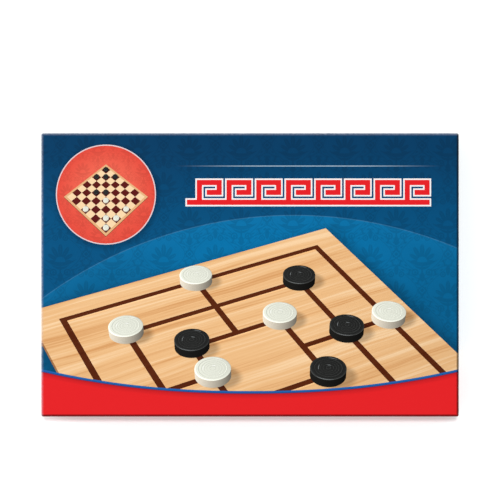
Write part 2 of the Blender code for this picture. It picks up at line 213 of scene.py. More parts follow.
class Surface(Nodes):
    """The node tree of a new Principled material."""

    def __init__(self, name, specular=0.25, roughness=0.5):
        self.material = bpy.data.materials.new(name)
        self.material.use_nodes = True
        super().__init__(self.material.node_tree)
        self.set("Specular IOR Level", specular)
        self.set("Roughness", roughness)

    def set(self, name, value):
        self.feed(self.nodes["Principled BSDF"].inputs[name], value)

    def finished(self, colour, height, distance, strength):
        """The material, with its colour and its bumps."""
        self.set("Base Color", colour)
        inputs = {"Height": height, "Distance": distance * MM, "Strength": strength}
        self.set("Normal", self.node("Bump", inputs)[0])
        return self.material

    def local(self):
        """Place in the object's own frame, in metres."""
        return self.node("TexCoord")["Object"]

    def sheet(self):
        """Place on the unfolded sheet, in millimetres."""
        return self.split(self.node("UVMap", uv_map="sheet")[0])[:2]

    def ink(self):
        """The ink of the artwork's shape."""
        return self.node("Attribute", attribute_name="ink")["Color"]


# Outlines
def angles(start, end, steps):
    """Angles in radians from start to end, both included."""
    return [radians(start + (end - start) * i / steps) for i in range(steps + 1)]


def arc(inset, z, radius, start, end, steps):
    """Points (inset, z) round a centre. An angle of 0 points outwards, and 90 up."""
    return [(inset - radius * cos(a), z + radius * sin(a)) for a in angles(start, end, steps)]


def turned(x, y, radius, turns):
    """Points round a centre, at angles in radians."""
    return [(x + radius * cos(a), y + radius * sin(a)) for a in turns]


def circle(x, y, radius, steps):
    """A circle's outline, anticlockwise."""
    return turned(x, y, radius, [TURN * i / steps for i in range(steps)])


def square(half):
    """The corners of a square round the origin, anticlockwise."""
    return [(half, half), (-half, half), (-half, -half), (half, -half)]


def sides(ring):
    """Each point of a ring with the next one."""
    return zip(ring, ring[1:] + ring[:1])


def bar(start, end, width):
    """A straight bar, squared off half its width past its two ends."""
    (x0, y0), (x1, y1) = start, end
    length = hypot(x1 - x0, y1 - y0)
    ux, uy = (x1 - x0) / length * width / 2, (y1 - y0) / length * width / 2
    right = [(x0 - ux + uy, y0 - uy - ux), (x1 + ux + uy, y1 + uy - ux)]
    return right + [(x1 + ux - uy, y1 + uy + ux), (x0 - ux - uy, y0 - uy + ux)]


def hull(points):
    """The convex outline round points, anticlockwise."""
    points = sorted(points)

    def half(run):
        chain = []
        for x, y in run:
            while len(chain) > 1:
                (ax, ay), (bx, by) = chain[-2], chain[-1]
                if (bx - ax) * (y - ay) - (by - ay) * (x - ax) > 0:
                    break
                chain.pop()
            chain.append((x, y))
        return chain[:-1]

    return half(points) + half(points[::-1])


def rounded(half, corner, inset):
    """A box's outline moved in, anticlockwise, with round corners and points along its sides."""
    corners, radius = [], max(corner - inset, LEAST_RADIUS)
    for quarter, (side_x, side_y) in enumerate(square(1)):
        x, y = side_x * (half[0] - inset - radius), side_y * (half[1] - inset - radius)
        corners += turned(x, y, radius, angles(90 * quarter, 90 * quarter + 90, CORNER_STEPS))
    made = []
    for (x0, y0), (x1, y1) in sides(corners):
        count = max(1, round(hypot(x1 - x0, y1 - y0) / SIDE_STEP))
        made += [(x0 + (x1 - x0) * i / count, y0 + (y1 - y0) * i / count) for i in range(count)]
    return made


class Wall:
    """Moves points of a box's outline to another inset, and keeps its round corners round."""

    def __init__(self, half, corner, inset):
        self.half, self.corner = half, corner
        self.start = self.middle(inset)

    def radius(self, inset):
        return max(self.corner - inset, LEAST_RADIUS)

    def middle(self, inset):
        """Half the straight part of each side."""
        return [half - inset - self.radius(inset) for half in self.half]

    def at(self, x, y, inset):
        """The moved point and the outward direction there."""
        near, far, radius = self.start, self.middle(inset), self.radius(inset)
        past_x, past_y = abs(x) - near[0], abs(y) - near[1]
        if min(past_x, past_y) > 1e-5:
            turn = atan2(past_y, past_x)
            out_x, out_y = cos(turn), sin(turn)
            to_x, to_y = far[0] + radius * out_x, far[1] + radius * out_y
        elif past_x > past_y:
            out_x, out_y = 1, 0
            to_x, to_y = self.half[0] - inset, abs(y) * far[1] / near[1]
        else:
            out_x, out_y = 0, 1
            to_x, to_y = abs(x) * far[0] / near[0], self.half[1] - inset
        side_x, side_y = copysign(1, x), copysign(1, y)
        return to_x * side_x, to_y * side_y, out_x * side_x, out_y * side_y

    def to_corner(self, x, y, out_x, out_y, inset):
        """How far a point of a side is from the side's end; 0 on a round corner."""
        if out_x and out_y:
            return 0
        return self.half[0] - inset - abs(x) if out_y else self.half[1] - inset - abs(y)


# Flat artwork
class Picture:
    """A board pictured on the sheet in perspective. Its own u runs to the right, and v away."""

    def __init__(self, centre, turn, tilt, distance, focal):
        self.centre, self.distance, self.focal = centre, distance, focal
        self.cos, self.sin = cos(radians(turn)), sin(radians(turn))
        self.flat, self.rise = cos(radians(tilt)), sin(radians(tilt))

    def __call__(self, u, v, height=0):
        x, y = u * self.cos - v * self.sin, u * self.sin + v * self.cos
        depth = self.distance + y * self.flat - height * self.rise
        up = y * self.rise + height * self.flat
        return self.centre[0] + self.focal * x / depth, self.centre[1] + self.focal * up / depth

    def outline(self, corners):
        """A shape on the pictured board's face."""
        return [self(*corner) for corner in corners]

    def slab(self, half, thickness):
        """The outline of the whole board, with its edges."""
        return hull([self(*corner, height) for corner in square(half) for height in (0, -thickness)])

    def nearness(self, stone):
        """Sorts stones, those further away first."""
        return -self(*stone[1:])[1]

    def back(self, x, y):
        """From a place on the sheet, as node values, back to u and v."""
        x, y = x - self.centre[0], y - self.centre[1]
        away = y * self.distance / (y * -self.flat + self.focal * self.rise)
        side = x * (away * self.flat + self.distance) / self.focal
        return side * self.cos + away * self.sin, away * self.cos - side * self.sin


class Artwork:
    """Flat shapes painted one over another, each with a slot and an ink. A slot of None is a hole.

    An ink is a colour, or a function that gives the colour at a place.
    """

    def __init__(self, outline):
        self.shapes = [(outline, 0, WHITE)]

    def paint(self, polygon, slot, ink=WHITE):
        self.shapes.append((polygon, slot, ink))

    def triangles(self):
        """Points, and (triangle, slot, ink) for all that shows inside the outline."""
        points, faces = [], []
        for polygon, _, _ in self.shapes:
            area = sum(a[0] * b[1] - b[0] * a[1] for a, b in sides(polygon))
            polygon = polygon if area > 0 else polygon[::-1]
            faces.append(list(range(len(points), len(points) + len(polygon))))
            points += polygon
        found = delaunay_2d_cdt([Vector(p) for p in points], [], faces, 1, 1e-4)
        kept = []
        for triangle, origins in zip(found[2], found[5]):
            _, slot, ink = self.shapes[max(origins, default=0)]
            if 0 in origins and slot is not None:
                kept.append((list(triangle), slot, ink))
        return [tuple(point) for point in found[0]], kept


def free_loops(triangles):
    """The outlines of triangles, each a list of (point, slot, ink) in order."""
    owner = {}
    for triangle, slot, ink in triangles:
        for a, b in sides(triangle):
            owner[a, b] = (slot, ink)
    after = {a: (b, *owner[a, b]) for a, b in owner if (b, a) not in owner}
    loops = []
    while after:
        at = next(iter(after))
        loop = []
        while at in after:
            then, slot, ink = after.pop(at)
            loop.append((at, slot, ink))
            at = then
        loops.append(loop)
    return loops


# Pieces
def finish_mesh(bm, name, materials, sharp_angle=40.0):
    """A smooth-shaded mesh with sharp folds, without the points that no face uses."""
    bmesh.ops.delete(bm, geom=[v for v in bm.verts if not v.link_faces], context="VERTS")
    mesh = bpy.data.meshes.new(name)
    bm.normal_update()
    bm.to_mesh(mesh)
    bm.free()
    for material in materials:
        mesh.materials.append(material)
    mesh.shade_smooth()
    mesh.set_sharp_from_angle(angle=radians(sharp_angle))
    return mesh


def new_object(data, name=""):
    made = bpy.data.objects.new(name or data.name, data)
    SCENE.collection.objects.link(made)
    return made


def dress(piece, body, node):
    """Puts a piece on its body, in the place of its CAD node."""
    piece.modifiers.new("even_shading", "WEIGHTED_NORMAL").keep_sharp = True
    bpy.context.view_layer.update()
    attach(piece, body)
    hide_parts(node)


def painter(bm):
    """A function that gives a face its slot, and its corners their ink and place on the sheet."""
    sheet = bm.loops.layers.uv.new("sheet")
    inks = bm.loops.layers.float_color.new("ink")

    def paint(face, slot, ink, places, spots):
        face.material_index = slot
        for corner, place, spot in zip(face.loops, places, spots):
            corner[sheet].uv = (place[0] * MM, place[1] * MM)
            corner[inks] = (*(ink(*spot) if callable(ink) else ink), 1)

    return paint


def lay_face(bm, paint, art, z):
    """Lays artwork flat. Returns its outline as (x, y, slot, ink), and the outline's vertices."""
    points, triangles = art.triangles()
    verts = [bm.verts.new((x * MM, y * MM, z * MM)) for x, y in points]
    for triangle, slot, ink in triangles:
        corners = [points[i] for i in triangle]
        paint(bm.faces.new([verts[i] for i in triangle]), slot, ink, corners, corners)
    edge = free_loops(triangles)[0]
    return [(*points[i], slot, ink) for i, slot, ink in edge], [verts[i] for i, _, _ in edge]


def wrapped(wall, profile, flap, dip, art=None, outline=None):
    """A sheet glued on a shallow box and turned in over its edge, as a closed mesh.

    profile is its section as (inset, z) points, from the face over the edge round to the glued side. art
    covers the face, and without it the section is a closed ring round outline. The rings numbered in flap
    are the turned-in edge, which dips towards each corner.
    """
    bm = bmesh.new()
    paint = painter(bm)
    rings = []
    if art:
        loop, ring = lay_face(bm, paint, art, profile[0][1])
        rings.append(ring)
    else:
        loop = [(x, y, 0, WHITE) for x, y in outline]
    tracks = [[wall.at(x, y, inset) for x, y, _, _ in loop] for inset, _ in profile]
    for number in range(len(rings), len(profile)):
        inset, z = profile[number]
        ring = []
        for at in tracks[number]:
            cut = max(0, 1 - wall.to_corner(*at, inset) / NOTCH_LENGTH) if number in flap else 0
            ring.append(bm.verts.new((at[0] * MM, at[1] * MM, (z - dip * cut) * MM)))
        rings.append(ring)
    travel = [0]
    for before, then in sides(profile):
        travel.append(travel[-1] + dist(before, then))
    if not art:
        rings.append(rings[0])
        tracks.append(tracks[0])
    edge = [half - profile[0][0] for half in wall.half]

    def place(k, i, out):
        """Where a point of ring k lies on the sheet, on the flap that turns down towards out."""
        x, y = tracks[k][i][:2]
        if abs(out[0]) >= abs(out[1]):
            return copysign(edge[0] + travel[k], out[0]), y
        return x, copysign(edge[1] + travel[k], out[1])

    for k in range(1, len(rings)):
        for i in range(len(loop)):
            j = (i + 1) % len(loop)
            here, there, slot, ink = loop[i][:2], loop[j][:2], *loop[i][2:]
            out = [a + b for a, b in zip(tracks[0][i][2:], tracks[0][j][2:])]
            places = [place(*at, out) for at in ((k - 1, i), (k, i), (k, j), (k - 1, j))]
            quad = bm.faces.new([rings[k - 1][i], rings[k][i], rings[k][j], rings[k - 1][j]])
            paint(quad, slot, ink, places, (here, here, there, there))
    if art:
        bm.faces.new(rings[-1][::-1])
    bmesh.ops.dissolve_degenerate(bm, dist=0.002 * MM, edges=bm.edges)
    return bm


# Printed patterns
DAMASK_REPEAT = (47.0, 66.0)
WOOD_LIGHT = (248, 210, 164)
WOOD_MIDDLE = (237, 188, 133)
WOOD_DARK = (216, 156, 98)


def damask_net(off, along, knots):
    """The ogee net: a leafy vine winds round a thin line between two more, with knots."""
    wind = (along * (TURN * 8)).sin()
    leaf = abs(wind).rises(0.55, 1)
    net = (off - wind * 1.5).line(0.5).most((abs(off) - 2.4).line(0.7) * leaf)
    net = net.most(off.line(0.2)).most((abs(off) - 4.3).line(0.3))
    return net.most(knots.rises(4.9, 4.3)) * knots.rises(3, 3.4).most(knots.rises(2.2, 1.8))


def damask_motif(tree, x, y):
    """A palmette over two cupped leaves, with a stem, curls and a drop below and a finial above."""
    side = abs(x)
    radius, turn = tree.span(x, y + 7), tree.math("ARCTAN2", x, y + 7)
    petal = abs((turn * 6).cos()).power(0.7)
    length = (petal * 11 + 5) * (turn.cos() * 0.36 + 0.64)
    veins = (turn * 6).sin().line(0.07, 0.05) * radius.rises(7, 8)
    motif = (radius - length).rises(0.35, -0.35) * radius.rises(4.3, 5) * abs(turn).rises(1.85, 1.75)
    motif = motif * (1 - veins)
    for low, bend, narrow, thick in ((9.3, 0.02, 215, 1.8), (13, 0.05, 70, 1.2)):
        cup = (1 - side * side / narrow) * thick
        motif = motif.most((abs(y + low - x * x * bend) - cup).rises(0.3, -0.3))
    motif = motif.most(side.rises(0.9, 0.5) * (y + 17).line(7))
    for middle, half_width, half_height in ((-21, 2.3, 4.2), (18.5, 1.9, 4.6)):
        motif = motif.most(tree.span(x / half_width, (y - middle) / half_height).rises(1.1, 0.9))
    for curl_x, curl_y, size in ((6.4, -16.6, 2.6), (4.6, 14.6, 2.1)):
        curl = tree.span(side - curl_x, y - curl_y)
        motif = motif.most((curl - size).line(0.55, 0.25)).most(curl.rises(1.1, 0.7))
    return motif


def damask(tree, x, y):
    """Half-drop ogee damask: 1 on its motifs and its net, and 0 on the ground."""
    wide, high = DAMASK_REPEAT
    a, b = x / wide, y / high
    near_x, near_y = a.part(), b.part()
    next_x, next_y = (a - 0.5).part(), (b - 0.5).part()
    slope = (near_y * TURN).sin() * (TURN / 4 / high)
    off = abs(near_x) - (near_y * TURN).cos() * 0.25 - 0.25
    off = off / (slope * slope + 1 / wide**2).root()
    knots = (abs(next_x) * wide + abs(near_y) * high).least(abs(near_x) * wide + abs(next_y) * high)
    inner = tree.math("LESS_THAN", off, 0)
    motif_x = (next_x + (near_x - next_x) * inner) * wide
    motif_y = (next_y + (near_y - next_y) * inner) * high
    return damask_net(off, near_y, knots).most(damask_motif(tree, motif_x, motif_y))


def timber(tree, u, v):
    """Pale wood with its grain along u: its colour, and its tone from dark to light."""
    across = v + tree.noise((u * 0.005, v * 0.012), 1, 2) * 16
    broad = tree.noise((u * 0.0016, across * 0.045), 1, 3, 0.55)
    streak = tree.noise((u * 0.004, across * 0.28, 7), 1, 4, 0.6)
    fibre = tree.noise((u * 0.03, across * 1.6, 3), 1, 2)
    tone = broad * 0.5 + streak * 0.38 + fibre * 0.12
    colour = tree.mix(tone.rises(0.38, 0.5), WOOD_DARK, WOOD_MIDDLE)
    return tree.mix(tone.rises(0.5, 0.61), colour, WOOD_LIGHT), tone


def morris_lines(u, v, sizes, half):
    """1 on the lines of a morris board."""
    reach, least = abs(u).most(abs(v)), abs(u).least(abs(v))
    middle, depth = (sizes[0] + sizes[-1]) / 2, (sizes[0] - sizes[-1]) / 2
    lines = least.rises(half + 0.12, half - 0.12) * (reach - middle).line(depth)
    for size in sizes:
        lines = lines.most((reach - size).line(half, 0.12))
    return lines


def draughts_squares(u, v, size, soft, gap, half):
    """1 on the dark squares of a draughts board, and on the line that frames it at a gap."""
    cell, field = pi / size, size * SQUARES_A_SIDE / 2
    reach = abs(u).most(abs(v))
    dark = ((u * cell).sin() * (v * cell).sin()).rises(-soft, soft) * reach.rises(field + 0.1, field - 0.1)
    return dark.most((reach - (field + gap)).line(half, 0.12))


# The cover's artwork
BOARD, PLAIN, MEDALLION, STONE_PRINT = range(1, 5)  # slots after the ground's, which is 0
BIG = Picture(centre=(8.0, -78.0), turn=27.0, tilt=40.0, distance=900.0, focal=860.0)
BIG_THICKNESS = 7.0
BIG_EDGE_INK = (0.42, 0.34, 0.28)
LINE_WIDTH = 6.5
LINE_INK = tuple(line / wood for line, wood in zip(linear(88, 36, 12), linear(237, 189, 135)))
LIP = 0.9
LIP_INK = (1.16, 1.14, 1.1)

# Pictured stones as (colour, u, v), and their sizes
STONES = [("white", *at) for at in ((-MIDDLE, MIDDLE), (0, OUTER), (INNER, INNER), (OUTER, 0), (-INNER, 0))]
STONES += [("black", *at) for at in ((-INNER, INNER), (MIDDLE, MIDDLE), (MIDDLE, 0), (INNER, -INNER))]
STONE_SIZE = (17.0, 9.0)

# The grey levels of their parts, the tint of their tops, and the ink of their brightest glints
SIDE, BRIM, FACE, GROOVE, GLINT = range(5)
STONE_INKS = {
    "white": ((196, 240, 229, 201, 250), (0.99, 1, 0.94), linear(255, 255, 252)),
    "black": ((20, 46, 36, 12, 74), (0.98, 1, 0.98), linear(128, 132, 134)),
}
SIDE_TINT = (1.0, 0.955, 0.87)

# Their rings: part of the radius, part of the height, level, darker to the right, lighter to the back
STONE_RINGS = [(1.0, 0.96, GLINT, 0.35, -0.2), (0.985, 1.0, BRIM, 0.22, -0.16), (0.93, 1.03, FACE, 0.1, 0.0)]
for part, width in ((0.80, 0.05), (0.62, 0.035), (0.47, 0.03), (0.33, 0.035), (0.17, 0.05)):
    STONE_RINGS.append((part, 1.03, GROOVE, -0.08, 0))
    STONE_RINGS.append((part - width * 0.6, 1.02, GLINT, -0.3, -0.1))
    STONE_RINGS.append((part - width, 1.02, FACE, 0.1, 0))

# Their glints: part of the radius, width, start and end
STONE_GLINTS = ((0.98, 0.03, 195, 262), (0.88, 0.03, 25, 62), (0.55, 0.03, 120, 170), (0.26, 0.04, 20, 80))
GLINT_STEPS = 12

KEY_BAND = (-46.0, 66.0)
KEY_UNIT = 4.5
KEY_COUNT = 8
KEY_STROKES = ((7.4, linear(244, 240, 240)), (4.7, linear(228, 32, 38)))

MEDAL = (-131.0, 73.0)
MEDAL_RADIUS = 45.5
MEDAL_RING = 1.0
CORAL = (linear(242, 108, 86), linear(226, 74, 60))
SMALL = Picture(centre=(MEDAL[0], MEDAL[1] - 2.0), turn=45.0, tilt=58.0, distance=210.0, focal=210.0)
SMALL_HALF = 25.0
SMALL_BORDER = 2.0
SMALL_THICKNESS = 1.6
SQUARES_A_SIDE = 8
MEN = {
    "white": ((0, 0), (1, 1), (2, 0), (4, 0), (0, 4), (3, 3)),
    "black": ((7, 7), (6, 6), (7, 5), (5, 7), (4, 4), (3, 5)),
}

BAND_LOW = -108.0
BAND_RISE = 20.0
BAND_POWER = 2.2
BAND_SHADE = 5.0
BAND_STEPS = 64
BAND_REDS = (linear(168, 24, 32), linear(228, 34, 38))
BAND_BLUES = ((2.4, linear(34, 96, 168)), (0.7, linear(24, 60, 122)))
OVERRUN = 10.0


def blend_inks(first, second, share):
    return tuple(a + (b - a) * share for a, b in zip(first, second))


def draw_stone(art, slot, view, stone, size, steps):
    """A stone on a pictured board, lit from the left. Returns its top's middle and half sizes."""
    colour, u, v = stone
    radius, height = size
    levels, top_tint, shine = STONE_INKS[colour]

    def ring(part, level):
        return [view(x, y, height * level) for x, y in circle(u, v, radius * part, steps)]

    xs, ys = zip(*ring(1, 1))
    middle_x, middle_y = (min(xs) + max(xs)) / 2, (min(ys) + max(ys)) / 2
    half_x, half_y = (max(xs) - min(xs)) / 2, (max(ys) - min(ys)) / 2

    def tone(name, tint, darker, lighter):
        """An ink that gets darker to the right and lighter to the back."""
        base = linear(*[levels[name] * t for t in tint])

        def rule(x, y):
            gain = 1 - darker * (x - middle_x) / half_x + lighter * (y - middle_y) / half_y
            return tuple(b * max(gain, 0.05) for b in base)

        return rule

    def crescent(part, width, start, end):
        """A glint along part of a ring, thin at both its ends."""
        outer = [(part, a) for a in angles(start, end, GLINT_STEPS)]
        inner = [(part - width * sin(pi * i / GLINT_STEPS), a) for i, (_, a) in enumerate(outer)]
        places = [(radius * p * cos(a), radius * p * sin(a)) for p, a in outer + inner[-2:0:-1]]
        return [view(u + x, v + y, height) for x, y in places]

    art.paint(hull(ring(1, 0) + ring(1, 1)), slot, tone(SIDE, SIDE_TINT, 0.68, 0.06))
    for part, level, name, darker, lighter in STONE_RINGS:
        art.paint(ring(part, level), slot, tone(name, top_tint, darker, lighter))
    for glint in STONE_GLINTS:
        art.paint(crescent(*glint), slot, shine)
    return middle_x, middle_y, half_x, half_y


def draw_board(art):
    """The morris board: its edge, its face, and its sunk lines, each with a lit lip."""
    art.paint(BIG.slab(BOARD_HALF, BIG_THICKNESS), BOARD, BIG_EDGE_INK)
    art.paint(BIG.outline(square(BOARD_HALF)), BOARD)
    lines = [line for size in SQUARES for line in sides(square(size))]
    for x, y in ((1, 0), (0, 1), (-1, 0), (0, -1)):
        lines.append(((x * INNER, y * INNER), (x * OUTER, y * OUTER)))
    for shift, ink in ((LIP, LIP_INK), (0, LINE_INK)):
        for start, end in lines:
            shape = BIG.outline(bar(start, end, LINE_WIDTH))
            art.paint([(x + shift, y - shift) for x, y in shape], BOARD, ink)


def draw_key_band(art):
    """A running key pattern: one stroke along its foot, and a hook for each unit."""
    x, y = KEY_BAND
    unit = KEY_UNIT
    strokes = [((x - 2 * unit, y), (x + (6 * KEY_COUNT - 2) * unit, y))]
    for i in range(KEY_COUNT):
        places = [(6 * i, 0), (6 * i, 4), (6 * i + 4, 4), (6 * i + 4, 2), (6 * i + 2, 2)]
        hook = [(x + across * unit, y + up * unit) for across, up in places]
        strokes += zip(hook, hook[1:])
    for width, ink in KEY_STROKES:
        for start, end in strokes:
            art.paint(bar(start, end, width), PLAIN, ink)


def draw_medallion(art):
    """A coral roundel with a small draughts board stood on its corner."""

    def field(x, y):
        share = min(1, dist((x, y), MEDAL) / MEDAL_RADIUS)
        return blend_inks(*CORAL, share * share)

    art.paint(circle(*MEDAL, MEDAL_RADIUS, 96), PLAIN, linear(226, 205, 208))
    art.paint(circle(*MEDAL, MEDAL_RADIUS - MEDAL_RING, 96), MEDALLION, field)
    art.paint(circle(*MEDAL, MEDAL_RADIUS * 0.55, 48), MEDALLION, field)
    outside = SMALL_HALF + SMALL_BORDER
    art.paint(SMALL.slab(outside, SMALL_THICKNESS), PLAIN, linear(120, 66, 40))
    art.paint(SMALL.outline(square(outside)), PLAIN, linear(228, 178, 128))
    art.paint(SMALL.outline(square(SMALL_HALF)), PLAIN, linear(246, 214, 170))
    cell = 2 * SMALL_HALF / SQUARES_A_SIDE
    for i in range(SQUARES_A_SIDE):
        for j in range(i % 2, SQUARES_A_SIDE, 2):
            u, v = i * cell - SMALL_HALF, j * cell - SMALL_HALF
            corners = [(u, v), (u + cell, v), (u + cell, v + cell), (u, v + cell)]
            art.paint(SMALL.outline(corners), PLAIN, linear(92, 24, 22))
    men = [(colour, *((n + 0.5) * cell - SMALL_HALF for n in at)) for colour in MEN for at in MEN[colour]]
    for man in sorted(men, key=SMALL.nearness):
        draw_stone(art, PLAIN, SMALL, man, (cell * 0.4, 1.7), 24)


def draw_front_band(art):
    """The red band along the front, under a curved blue edge that shades it."""

    def top(x):
        return BAND_LOW + BAND_RISE * (abs(x) / LID.half[0]) ** BAND_POWER

    def red(x, y):
        away = min(1, (top(x) - y) / BAND_SHADE)
        return blend_inks(*BAND_REDS, max(away, 0) ** 0.5)

    reach, low = LID.half[0] + OVERRUN, -LID.half[1] - OVERRUN
    edge = [reach * (2 * i / BAND_STEPS - 1) for i in range(BAND_STEPS + 1)]
    for rise, ink in (*BAND_BLUES, (0, red), (-1.6, red), (-BAND_SHADE, red)):
        art.paint([(x, top(x) + rise) for x in edge] + [(reach, low), (-reach, low)], PLAIN, ink)


def lid_art():
    """The lid's face, and the places of its stones, for their shadows."""
    art = Artwork(rounded(LID.half, CORNER, EDGE))
    draw_board(art)
    stones = sorted(STONES, key=BIG.nearness)
    shadows = [draw_stone(art, STONE_PRINT, BIG, stone, STONE_SIZE, 44) for stone in stones]
    draw_key_band(art)
    draw_medallion(art)
    draw_front_band(art)
    return art, shadows


# Print, its wear, and the painted highlight and shade on its folds
# Spans of the painted highlight and of the painted shade on the face's folds, as start, full and end
PAINTED_HIGHLIGHT_FOLD = (-2.9, 0.6, 2.6)
PAINTED_SHADE_FOLD = (-2.7, -1.5, 1.4)
FOLD_END = 1.2
TAB = 14.0


def varnished(tree, colour, sheen=0.3, seams=0.0):
    """A varnished print: its sheen varies, and the paper's fibres and what lies under it show."""
    place = tree.local()
    fibres = tree.noise(place, 2400, 3, 0.6)
    sway = tree.noise(place, 26, 2)
    tree.set("Roughness", sway * 0.1 + fibres * 0.08 + (sheen - 0.09))
    return tree.finished(colour, fibres * 0.35 + sway + seams * 4, 0.12, 0.35)


def printed(tree, x, y, colour, half):
    """The print of a box's cover, rubbed off along the edges and most at the corners, with painted light and
    shade on its face's folds.
    """
    past_x, past_y = abs(x) - half[0], abs(y) - half[1]
    # A patchy noise that varies the rubbed wear and the painted highlight and shade on the folds
    patchy = tree.noise((x * 0.4, y * 0.4), 1, 4, 0.7)

    def fold(out, start, full, end):
        return out.rises(start, full) * out.rises(end, end - FOLD_END)

    # painted light and shade: the face's folds get a painted highlight at the back and on the left, and
    # painted shade in front and on the right, as if lit from the back left
    face = tree.split(tree.local())[2].rises(LID.high[2] - 3.6, LID.high[2] - 2.4)
    pale = fold(-x - half[0], *PAINTED_HIGHLIGHT_FOLD).most(fold(y - half[1], *PAINTED_HIGHLIGHT_FOLD))
    painted_shade = fold(x - half[0], *PAINTED_SHADE_FOLD).most(fold(-y - half[1], *PAINTED_SHADE_FOLD))
    # Painted shade on the folds in front and on the right
    colour = tree.shade(colour, 1 - face * painted_shade * (patchy * 0.3 + 0.58))
    # Painted highlight, pale grey-blue, on the folds at the back and on the left
    colour = tree.mix(face * pale * (patchy * 1.3 - 0.2), colour, (180, 184, 196))
    corner = tree.span(past_x, past_y).rises(9, 1)
    worn = abs(past_x).least(abs(past_y)).rises(1, 0.1) * (patchy + corner * 0.16).rises(0.56, 0.78) * 0.5
    # on the short sides, the long sides' tabs lie under the paper
    tabs = (past_y + TAB).rises(-0.25, 0.25) * past_x.rises(0.6, 1.4)
    return varnished(tree, tree.mix(worn, colour, (206, 206, 204)), seams=tabs)


def lid_ground():
    """The blue ground: a lit field under a wide arc, damask, a fine rule and soft shadows."""
    tree = Surface("lid_print_damask")
    x, y = tree.sheet()
    above_arc = tree.span(x - 40, y + 330) - 384
    dark = tree.mix(y.rises(20, LID.half[1]), (2, 82, 128), (3, 59, 98))
    glow = tree.span((x - 20) / 190, (y - 22) / 62).rises(1.15, 0.1)
    bright = tree.mix(glow, (3, 95, 142), (2, 113, 168))
    bright = tree.mix(above_arc.rises(-16, 0) * 0.25, bright, (16, 122, 178))
    colour = tree.mix(above_arc.rises(0.3, -0.3), dark, bright)
    rim = (above_arc - 0.2).line(0.35, 0.25)
    colour = tree.mix(rim * 0.3, colour, (90, 160, 205))
    u, v = BIG.back(x - 3, y + 5)
    board_shadow = (abs(u).most(abs(v)) - BOARD_HALF).rises(26, -6)
    medal_shadow = (tree.span(x - MEDAL[0] - 1.5, y - MEDAL[1] + 2) - MEDAL_RADIUS + 0.5).rises(6, -1)
    light = (1 - board_shadow * 0.5) * (1 - medal_shadow * 0.35)
    light = light * (1 - damask(tree, x + 8, y + 14) * 0.18)
    colour = tree.shade(colour, light)
    rule = (y - 99).line(0.35, 0.2) * abs(x - 53).rises(124, 40)
    return printed(tree, x, y, tree.mix(rule * 0.8, colour, (190, 214, 232)), LID.half)


def lid_board(shadows):
    """The pictured board's wood, with the shadows of its stones."""
    tree = Surface("lid_print_board")
    x, y = tree.sheet()
    colour, _ = timber(tree, *BIG.back(x, y))
    light = 1 - tree.span((x + 60) / 300, (y - 10) / 260).rises(0.3, 1.3) * 0.16
    for stone_x, stone_y, half_x, half_y in shadows:
        across = (x - stone_x - half_x * 0.42) / (half_x * 1.22)
        up = (y - stone_y + half_y * 0.75) / (half_y * 1.05)
        light = light * (1 - tree.span(across, up).rises(1.12, 0.72) * 0.42)
    colour = tree.mix(1, tree.shade(colour, light), tree.ink(), "MULTIPLY")
    return printed(tree, x, y, colour, LID.half)


def lid_inks(name, pattern=0.0, grain=0.05):
    """The artwork's own inks, with a faint grain, and a faint damask where it is asked for."""
    tree = Surface(name)
    x, y = tree.sheet()
    flat = tree.noise((x * 0.8, y * 0.8), 1, 3) * grain + (1 - grain / 2)
    if pattern:
        flat = flat * (1 - damask(tree, x * 1.7, y * 1.7) * pattern)
    return printed(tree, x, y, tree.shade(tree.ink(), flat), LID.half)


def plain_print(name, half, use_sheet):
    """The tray's print: the damask alone on an even blue."""
    tree = Surface(name)
    x, y = tree.sheet() if use_sheet else tree.split(tree.local())[:2]
    cloud = tree.noise((x * 0.006, y * 0.006), 1)
    ground = tree.mix(cloud, (12, 72, 114), (15, 84, 128))
    return printed(tree, x, y, tree.shade(ground, 1 - damask(tree, x, y) * 0.2), half)


# Lid and tray
def over_rim(z, up, radius, steps):
    """The section over a rim, from outside to inside. up is 1 for an upper rim, and -1 for a lower one."""
    outside = arc(FOLD, z - up * FOLD, radius, 0, 90 * up, steps)
    return outside + arc(WALL - FOLD, z - up * FOLD, radius, 90 * up, 180 * up, steps)


def lid_cover():
    """The lid's sheet: its face, down over the rim, up inside, and back along its glued side."""
    top, rim = LID.high[2], LID.low[2]
    profile = arc(EDGE, top - EDGE, EDGE, 90, 0, 6) + over_rim(rim, -1, FOLD, 4)
    flap = (len(profile), len(profile) + 1)
    profile += [(WALL, rim + TURN_IN), (WALL - PAPER, rim + TURN_IN)]
    profile += over_rim(rim, -1, FOLD - PAPER, 3)[::-1]
    profile += arc(GLUED_EDGE + PAPER, top - GLUED_EDGE - PAPER, GLUED_EDGE, 0, 90, 4)
    art, shadows = lid_art()
    bm = wrapped(Wall(LID.half[:2], CORNER, EDGE), profile, flap, NOTCH_DEPTH, art=art)
    prints = [lid_ground(), lid_board(shadows), lid_inks("lid_print_inks")]
    prints += [lid_inks("lid_print_medallion", pattern=0.14), lid_inks("lid_print_stones", grain=0.22)]
    dress(new_object(finish_mesh(bm, "lid_cover", prints)), "lid", "lid_wrap")


